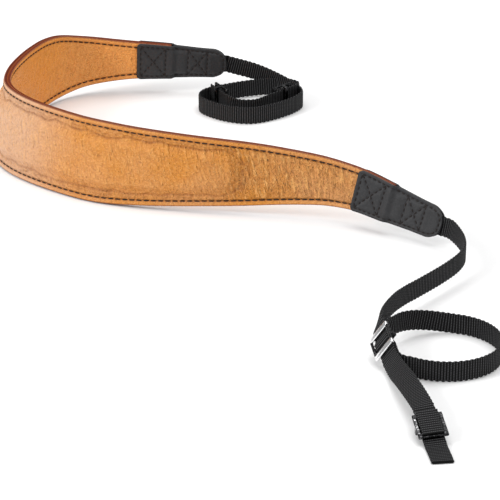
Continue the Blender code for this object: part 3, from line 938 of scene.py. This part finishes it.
def tabLevels(fromPad, across):
    # Inner level of a tab's leaf, from the pad's end down to the webbing and shut beside it
    stepFrom = tab["overlap"] + tab["pastPad"]
    pastPad = ramp(fromPad, stepFrom, stepFrom + tab["stepDown"])
    overPad = stack / 2 + gap
    overWebbing = webbing["thickness"] / 2 + gap
    core = overPad + (overWebbing - overPad) * pastPad
    pocket = webbing["width"] / 2 + tab["pocketRoom"]
    closing = ramp(np.abs(across), pocket, tab["width"] / 2 * tab["closedShare"]) * pastPad
    return core * (1 - closing) + gap / 2 * closing


def boxStitch(low, high, inset):
    # A cross between two seams that run from edge to edge
    nearHalf, farHalf = tabHalfWidth(np.array([low, high])) - inset
    return [[(low, -nearHalf), (low, nearHalf)], [(high, -farHalf), (high, farHalf)],
            [(low, -nearHalf), (high, farHalf)], [(low, nearHalf), (high, -farHalf)]]


def tabSeams():
    # Seam lines of a tab in distances from the pad and across
    inset = stitching["tabInset"]
    fromPad = np.linspace(inset, tab["length"] - inset - 0.05 * mm, 160)
    edge = tabHalfWidth(fromPad) - inset
    fromPad = fromPad[edge > 0.0]
    edge = edge[edge > 0.0]
    found = [list(zip(fromPad, edge)) + list(zip(fromPad[::-1], -edge[::-1]))]
    for low, high in tab["boxes"]:
        found += boxStitch(low, high, inset)
    return found


def nearSeams(fromPad, across):
    # Distance to the nearest seam
    best = np.full(fromPad.shape, 1.0)
    for seam in seams:
        for (x0, y0), (x1, y1) in zip(seam[:-1], seam[1:]):
            squared = (x1 - x0) ** 2 + (y1 - y0) ** 2
            share = np.clip(((fromPad - x0) * (x1 - x0) + (across - y0) * (y1 - y0)) / squared, 0, 1)
            away = np.hypot(fromPad - x0 - share * (x1 - x0), across - y0 - share * (y1 - y0))
            best = np.minimum(best, away)
    return best


seams = tabSeams()
tabRelief = {
    "edgeDrop": 0.45 * mm,
    "edgeRound": 0.9 * mm,
    "seam": 0.30 * mm,
    "besideSeam": 0.12 * mm,
    "raised": 0.55 * mm,
    "raisedAt": (17.6 * mm, 21.0 * mm, 25.5 * mm, 29.5 * mm),  # starts, is full, falls off and ends
}


def tabSurface(fromPad, across, half):
    # Outer level of a leaf, with soft edges, sunk seams and a raised stretch between its boxes
    outer = tabLevels(fromPad, across) + tab["thickness"]
    rim = np.minimum(half - np.abs(across), np.minimum(fromPad, tab["length"] - fromPad))
    outer = outer - tabRelief["edgeDrop"] * rounding(rim, tabRelief["edgeRound"])
    away = nearSeams(fromPad, across)
    outer = outer - tabRelief["seam"] * bell(away, 0.0, 0.6 * mm)
    outer = outer + tabRelief["besideSeam"] * bell(away, 2.0 * mm, 1.1 * mm)
    starts, full, falls, ends = tabRelief["raisedAt"]
    raised = ramp(fromPad, starts, full) * (1 - ramp(fromPad, falls, ends))
    return outer + tabRelief["raised"] * raised * (1 - ramp(np.abs(across), 4.5 * mm, 8.5 * mm))


def buildTab(name, tipAt, towardPad):
    # The two leaves of a tab, whose cross sections are close together at its rounded ends
    tip = tab["width"] / 2 * tabOutline[-1][1]
    corner = tab["corner"] * (1 - np.cos(np.radians(np.linspace(4, 90, 10))))
    straight = np.linspace(tab["corner"], tab["length"] - tip, 110)[1:]
    roundTip = tab["length"] - tip + tip * np.sin(np.radians(np.linspace(3, 87.5, 34)))
    fromPad = np.concatenate([corner, straight, roundTip])
    along = tipAt + towardPad * (tab["length"] - fromPad)
    order = np.argsort(along)
    fromPad = fromPad[order]
    frames = leather.frame(along[order])
    half = tabHalfWidth(fromPad)[:, None]
    shares = np.sin(np.linspace(-1, 1, 59) * math.pi / 2 * 0.86) / math.sin(math.pi / 2 * 0.86)
    across = half * shares
    fromGrid = fromPad[:, None] + 0 * across
    plain = half * np.linspace(-1, 1, 13)
    inner = tabLevels(fromPad[:, None] + 0 * plain, plain)
    outer = tabSurface(fromGrid, across, half)
    for leaf, upper, lower in (("_outer_leaf", (across, outer), (plain, inner)),
                               ("_inner_leaf", (plain, -inner), (across, -outer))):
        piece = strapSolid(name + leaf + "_look", frames, along[order], upper, lower, [tabMaterial])
        dress(piece, name + leaf)


buildTab("back_tab", 0.0, 1)
buildTab("front_tab", leatherLength, -1)
print("tabs made")


# Stitches

capsuleColumns = ("share", "radiusShare", "lift")
capsuleRings = (
    (0.0, 0.25, -0.55),
    (0.12, 0.85, -0.05),
    (0.35, 1.0, 0.35),
    (0.65, 1.0, 0.35),
    (0.88, 0.85, -0.05),
    (1.0, 0.25, -0.55),
)
capsuleSides = 6


def stitchMesh(name, starts, ends, outs):
    # One low arch of thread for each stitch, ring by ring
    starts, ends, outs = (np.vstack(rows) for rows in (starts, ends, outs))
    run = ends - starts
    length = np.linalg.norm(run, axis=1, keepdims=True)
    run = run / length
    side = np.cross(outs, run)
    points = []
    for share, radiusShare, lift in zip(*columns(capsuleColumns, capsuleRings).values()):
        middle = starts + run * length * share + outs * stitching["radius"] * lift
        radius = stitching["radius"] * radiusShare
        for k in range(capsuleSides):
            turn = 2 * math.pi * k / capsuleSides
            points.append(middle + radius * (side * math.cos(turn) + outs * math.sin(turn)))
    points = np.stack(points, axis=1)
    each = len(capsuleRings) * capsuleSides
    faces = []
    for n in range(len(starts)):
        base = n * each
        for ring in range(len(capsuleRings) - 1):
            for k in range(capsuleSides):
                a = base + ring * capsuleSides + k
                b = base + ring * capsuleSides + (k + 1) % capsuleSides
                faces.append((a, b, b + capsuleSides, a + capsuleSides))
        faces.append(tuple(base + k for k in reversed(range(capsuleSides))))
        faces.append(tuple(base + each - capsuleSides + k for k in range(capsuleSides)))
    piece = meshObject(name, points.reshape(-1, 3), faces, [thread])
    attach(piece, "root")


def resampled(points, pitch, dash):
    # Start and end places of stitches along a seam line
    points = np.array(points)
    legs = np.linalg.norm(np.diff(points, axis=0), axis=1)
    total = np.concatenate([[0], np.cumsum(legs)])
    count = max(2, int(round(total[-1] / pitch)))
    pitch = total[-1] / count
    starts = (np.arange(count) + 0.5) * pitch - dash / 2
    found = []
    for at in (starts, starts + dash):
        found.append(np.stack([np.interp(at, total, points[:, k]) for k in range(2)], axis=1))
    return found


def onLeather(along, across, level):
    # Places on the leather's course and the direction out of it there
    middle, _, side, out = leather.frame(along)
    return middle + side * across[:, None] + out * level[:, None], out


def padStitches():
    # A row of stitches beside each edge, on the outer leather and on the lining
    stations = np.linspace(0.5 * mm, pad["length"] - 0.5 * mm, 300)
    covered = stitching["padEnd"] * pad["length"]
    stations = stations[(stations > covered) & (stations < pad["length"] - covered)]
    for name, side, node in (("outer", 1, "outer_leather"), ("lining", -1, "lining_leather")):
        starts, ends, outs = [], [], []
        for edge in (-1, 1):
            line = np.stack([stations, edge * (padHalfWidth(stations) - stitching["padInset"])], axis=1)
            first, last = resampled(line, stitching["padPitch"], stitching["padDash"])
            for where, into in ((first, starts), (last, ends)):
                half = padHalfWidth(where[:, 0])
                relief = leatherRelief(where[:, 0], where[:, 1], half, side)
                lift = bulgeAt(where[:, 0], where[:, 1], half)
                top = outerBase + pad["outerThickness"] + lift + relief if side > 0 else liningBase - relief
                point, out = onLeather(where[:, 0] + tabReach, where[:, 1], top + side * 0.06 * mm)
                into.append(point)
            outs.append(out * side)
        stitchMesh(name + "_stitches", starts, ends, outs)


def tabStitches(name, tipAt, towardPad):
    # Stitches along every seam of both leaves
    for leaf, side in (("_outer_leaf", 1), ("_inner_leaf", -1)):
        starts, ends, outs = [], [], []
        for seam in seams:
            first, last = resampled(seam, stitching["tabPitch"], stitching["tabDash"])
            for where, into in ((first, starts), (last, ends)):
                half = tabHalfWidth(where[:, 0])
                level = tabSurface(where[:, 0], where[:, 1], half) * side
                point, out = onLeather(tipAt + towardPad * (tab["length"] - where[:, 0]), where[:, 1],
                                       level + side * 0.04 * mm)
                into.append(point)
            outs.append(out * side)
        stitchMesh(name + leaf + "_stitches", starts, ends, outs)


padStitches()
tabStitches("back_tab", 0.0, 1)
tabStitches("front_tab", leatherLength, -1)
print("stitches made")


# Webbing

def hump(off, height):
    # The rise of a webbing over a slider's middle bar
    slopeEnd = slider["length"] / 2 - slider["bar"] - gap
    return height * (1 - ramp(np.abs(off), slider["bar"] / 2, slopeEnd))


def ribbed(stations, offset, ribs):
    # Round ribs across a webbing, with an edge that is scalloped once for each pair
    rib = np.abs(np.sin(math.pi * stations / webbing["ribPitch"]))[:, None]
    scallop = np.cos(math.pi * stations / webbing["ribPitch"])[:, None]
    share = np.sin(np.linspace(-1, 1, 11) * math.pi / 2)
    half = webbing["width"] / 2 + (webbing["scallop"] * scallop - 0.03 * mm) * ribs
    across = half * share
    crown = 1 - 0.40 * ramp(np.abs(share), 0.88, 1.0)
    level = (webbing["thickness"] / 2 + webbing["ribHeight"] * (rib - 0.80) * ribs) * crown
    return across, offset + level, offset - level


ribStep = webbing["ribPitch"] / 8


def insideTab(tipAt, towardPad):
    # The end of a webbing between the leaves of its tab
    deep = np.linspace(webbing["inTab"] - 1.0 * mm, ribStep, 12)
    middle, ahead, side, out = leather.frame(tipAt + towardPad * deep)
    if towardPad > 0:
        return -deep, [middle, -ahead, side, -out]
    return -deep, [middle, ahead, side, out]


def buildWebbing(name, node, course, inside, humps, ribsFrom):
    # A webbing from inside its tab to its cut end, raised by a hump over each slider's bar
    stations = np.arange(0.0, course.length, ribStep)
    stations = np.append(stations, course.length)
    deep, hidden = inside
    frames = [np.vstack(pair) for pair in zip(hidden, course.frame(stations))]
    offset = sum((hump(stations - at, height) for at, height in humps), 0 * stations)
    offset = np.concatenate([0 * deep, offset])[:, None]
    stations = np.concatenate([deep, stations])
    ribs = ribsFrom(stations)[:, None]
    across, upper, lower = ribbed(stations, offset, ribs)
    dress(strapSolid(name, frames, stations, (across, upper), (across, lower), [webbingMaterial]), node)


backPlace = slider["back"] * webbing["backLength"]
backEndPlace = slider["backEnd"] * webbing["backLength"]
frontPlace = slider["front"] * webbing["frontLength"]
tailPlace = slider["tail"] * webbing["frontLength"]


def evenRibs(along):
    return 0 * along + 1.0


def lowerRibs(along):
    # The ribs of the front webbing are lower past its slider and lower still at its tail
    pastSlider = ramp(along, frontPlace, frontPlace + 20 * mm)
    atTail = ramp(along, tailPlace - 4 * mm, tailPlace + 4 * mm)
    return 1 - 0.25 * pastSlider - 0.55 * atTail


buildWebbing("back_webbing_look", "back_webbing", backCourse, insideTab(0.0, 1), [], evenRibs)
buildWebbing("front_webbing_look", "front_webbing", frontCourse, insideTab(leatherLength, -1),
             [(frontPlace, layerPitch), (tailPlace, webbing["tailHump"])], lowerRibs)


def buildLoop():
    # The ring of webbing under the strap in the front slider
    centre, ahead, side, out = frameAt(frontCourse, frontPlace)
    radius = loop["diameter"] / 2
    forward = np.array([ahead[0], ahead[1], 0.0]) / math.hypot(ahead[0], ahead[1])
    left = np.array([-forward[1], forward[0], 0.0])
    around = 2 * math.pi * radius
    ribCount = 2 * round(around / webbing["ribPitch"] / 2)
    off = (np.arange(ribCount * 8) / (ribCount * 8) - 0.5) * around
    angle = (off / radius)[:, None]
    ring = centre + radius * ((1 - np.cos(angle)) * left + np.sin(angle) * forward) + loop["offset"] * left
    ring[:, 2] = shift[2] + webbing["width"] / 2
    free = ramp(np.abs(off), flatReach, flatReach + loop["easing"])[:, None]
    straight = centre + off[:, None] * ahead - layerPitch * out
    middle = straight * (1 - free) + ring * free
    middle += hump(off, layerPitch)[:, None] * out
    clear = flatReach + loop["easing"]
    heldUp = ramp(-off, flatReach, clear) * (1 - ramp(-off, clear, clear + loop["settling"]))
    middle[:, 2] += loop["lift"] * heldUp
    run = np.roll(middle, -1, axis=0) - np.roll(middle, 1, axis=0)
    run /= np.linalg.norm(run, axis=1, keepdims=True)
    run = np.where((np.abs(off) < flatReach)[:, None], ahead, run)
    upright = side * (1 - free) + np.array([0.0, 0.0, 1.0]) * free
    upright -= run * np.sum(upright * run, axis=1, keepdims=True)
    upright /= np.linalg.norm(upright, axis=1, keepdims=True)
    stations = off * ribCount * webbing["ribPitch"] / around
    ribs = (0.25 + 0.75 * ramp(np.abs(off), flatReach, flatReach + 4 * mm))[:, None]
    across, upper, lower = ribbed(stations, 0.0, ribs)
    frames = [middle, run, upright, np.cross(run, upright)]
    dress(strapSolid("lug_loop_look", frames, stations, (across, upper), (across, lower), [webbingMaterial],
                     closed=True), "lug_loop")


buildLoop()


def buildTailFold():
    # The webbing's end, turned back over the tail slider
    end = slider["length"] / 2
    low = webbing["thickness"] + gap
    top = webbing["thickness"] + gap + slider["thickness"] + 0.1 * mm
    start = -end - 2.0 * mm
    stations = np.arange(start, end - 0.6 * mm, ribStep)
    offset = (low + (top - low) * ramp(stations, start, -end - 0.4 * mm))[:, None]
    across, upper, lower = ribbed(stations, offset, 0.5 + 0 * offset)
    piece = strapSolid("tail_fold_look", frontCourse.frame(tailPlace + stations), stations, (across, upper),
                       (across, lower), [webbingMaterial])
    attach(piece, "root")


buildTailFold()
print("webbing made")


# Sliders

sliderWidth = webbing["width"] + 2 * (slider["sideRoom"] + slider["rail"])
barLevel = webbing["thickness"] / 2 + gap + slider["thickness"] / 2


def roundedBlock(low, high, bevel):
    # Corners and faces of a block with every edge rounded over
    block = bmesh.new()
    bmesh.ops.create_cube(block, size=1.0)
    for vertex in block.verts:
        for k in range(3):
            vertex.co[k] = (low[k] + high[k]) / 2 + vertex.co[k] * (high[k] - low[k])
    bmesh.ops.bevel(block, geom=block.edges[:], offset=bevel, segments=4, profile=0.5, affect="EDGES")
    block.verts.ensure_lookup_table()
    points = np.array([vertex.co for vertex in block.verts])
    faces = [tuple(vertex.index for vertex in face.verts) for face in block.faces]
    block.free()
    return points, faces


def buildSlider(name, node, course, at, materials, bar=slider["bar"], room=slider["sideRoom"]):
    # Two rounded outer bars, slimmer rails, and a middle bar under the webbing on two legs.
    # Each block: its low corner, its high corner, its rounding and its material's number.
    centre, ahead, side, out = frameAt(course, at)
    end = slider["length"] / 2
    edge = sliderWidth / 2
    half = slider["thickness"] / 2
    slim = 0.8 * half
    railEnd = end - 0.6 * mm
    midEnd = slider["bar"] / 2
    midEdge = edge - 0.2 * mm
    legInset = 0.1 * mm
    blocks = []
    for way in (-1, 1):
        near, far = sorted((way * (end - bar), way * end))
        blocks.append(((near, -edge, barLevel - half), (far, edge, barLevel + half), slider["barRound"], 0))
        low, high = sorted((way * (webbing["width"] / 2 + room), way * edge))
        blocks.append(((-railEnd, low, barLevel - slim), (railEnd, high, barLevel + slim),
                       slider["railRound"], 1 if way > 0 else 2))
        blocks.append(((-midEnd, low + legInset, -barLevel - half), (midEnd, high - legInset, barLevel),
                       slider["legRound"], 1))
    blocks.append(((-midEnd, -midEdge, -barLevel - half), (midEnd, midEdge, -barLevel + half),
                   slider["railRound"], 1))
    points, faces, slots = [], [], []
    for low, high, bevel, slotOf in blocks:
        corners, around = roundedBlock(low, high, bevel)
        base = sum(len(p) for p in points)
        points.append(centre + corners @ np.array([ahead, side, out]))
        faces += [tuple(base + k for k in face) for face in around]
        slots += [slotOf] * len(around)
    dress(meshObject(name, np.vstack(points), faces, materials, slots), node)


buildSlider("front_slider_look", "front_slider", frontCourse, frontPlace,
            [chrome, darkMetal, darkMetal], slider["broadBar"])
# One rail of the tail slider is dark metal with painted glints
buildSlider("tail_slider_look", "tail_slider", frontCourse, tailPlace,
            [darkMetal, darkMetal, glintSpeckMetal], slider["broadBar"], slider["tailSideRoom"])
buildSlider("back_slider_look", "back_slider", backCourse, backPlace,
            [darkMetal, darkMetal, darkMetal])
buildSlider("back_end_slider_look", "back_end_slider", backCourse, backEndPlace,
            [darkMetal, darkMetal, darkMetal])
print("sliders made")


# Floor, light and camera

studio = {
    "floorColour": (0.93, 0.93, 0.93),
    "floorReach": 4.0,
    "sky": 0.40,
    "lights": {
        "key": {"size": 0.6, "power": 18.0, "at": (-1.35, -0.60, 0.95)},
        "fill": {"size": 1.6, "power": 6.0, "at": (1.2, -1.0, 0.9)},
        "top": {"size": 2.2, "power": 35.0, "at": (0.2, 0.3, 2.0)},
    },
}
view = {
    "imageSize": 500,
    "focalPixels": 2720.0,
    "distance": 1395.0 * mm,
    "elevation": 23.0,
    "aimFromBackTip": (13.9 * mm, -240.6 * mm),
}

floorLook = Builder("pale_floor").finish(colour=studio["floorColour"], roughness=0.9, specular=0.1)
floorCorners = [(x * studio["floorReach"], y * studio["floorReach"], 0) for x, y in
                ((-1, -1), (1, -1), (1, 1), (-1, 1))]
floorMesh = bpy.data.meshes.new("floor")
floorMesh.from_pydata(floorCorners, [], [(0, 1, 2, 3)])
floorMesh.materials.append(floorLook)
floor = bpy.data.objects.new("floor", floorMesh)
bpy.context.scene.collection.objects.link(floor)


def areaLight(name, size, power, at):
    # A square light at a place, turned to the middle of the strap
    light = bpy.data.lights.new(name, "AREA")
    light.size = size
    light.energy = power
    lamp = bpy.data.objects.new(name, light)
    bpy.context.scene.collection.objects.link(lamp)
    lamp.location = at
    x, y, z = at
    lamp.rotation_euler = (math.atan2(math.hypot(x, y), z), 0, math.atan2(-y, -x) - math.pi / 2)


for name, light in studio["lights"].items():
    areaLight(name, **light)

world = bpy.data.worlds.new("studio")
bpy.context.scene.world = world
world.use_nodes = True
world.node_tree.nodes["Background"].inputs["Color"].default_value = (1.0, 1.0, 1.0, 1.0)
world.node_tree.nodes["Background"].inputs["Strength"].default_value = studio["sky"]
bpy.context.scene.view_settings.view_transform = "Standard"
print("studio made")

# The photograph's camera: an angle above the floor, a distance and a focal length in pixels
elevation = math.radians(view["elevation"])
aim = np.array([*view["aimFromBackTip"], 0.0]) + np.array([shift[0], shift[1], 0.0])
camera = bpy.data.cameras.new("camera")
camera.sensor_width = 36.0
camera.lens = view["focalPixels"] / view["imageSize"] * camera.sensor_width
camera.clip_start = 0.01
cameraObject = bpy.data.objects.new("camera", camera)
bpy.context.scene.collection.objects.link(cameraObject)
cameraObject.location = aim + view["distance"] * np.array([0, -math.cos(elevation), math.sin(elevation)])
cameraObject.rotation_euler = (math.pi / 2 - elevation, 0, 0)
bpy.context.scene.camera = cameraObject
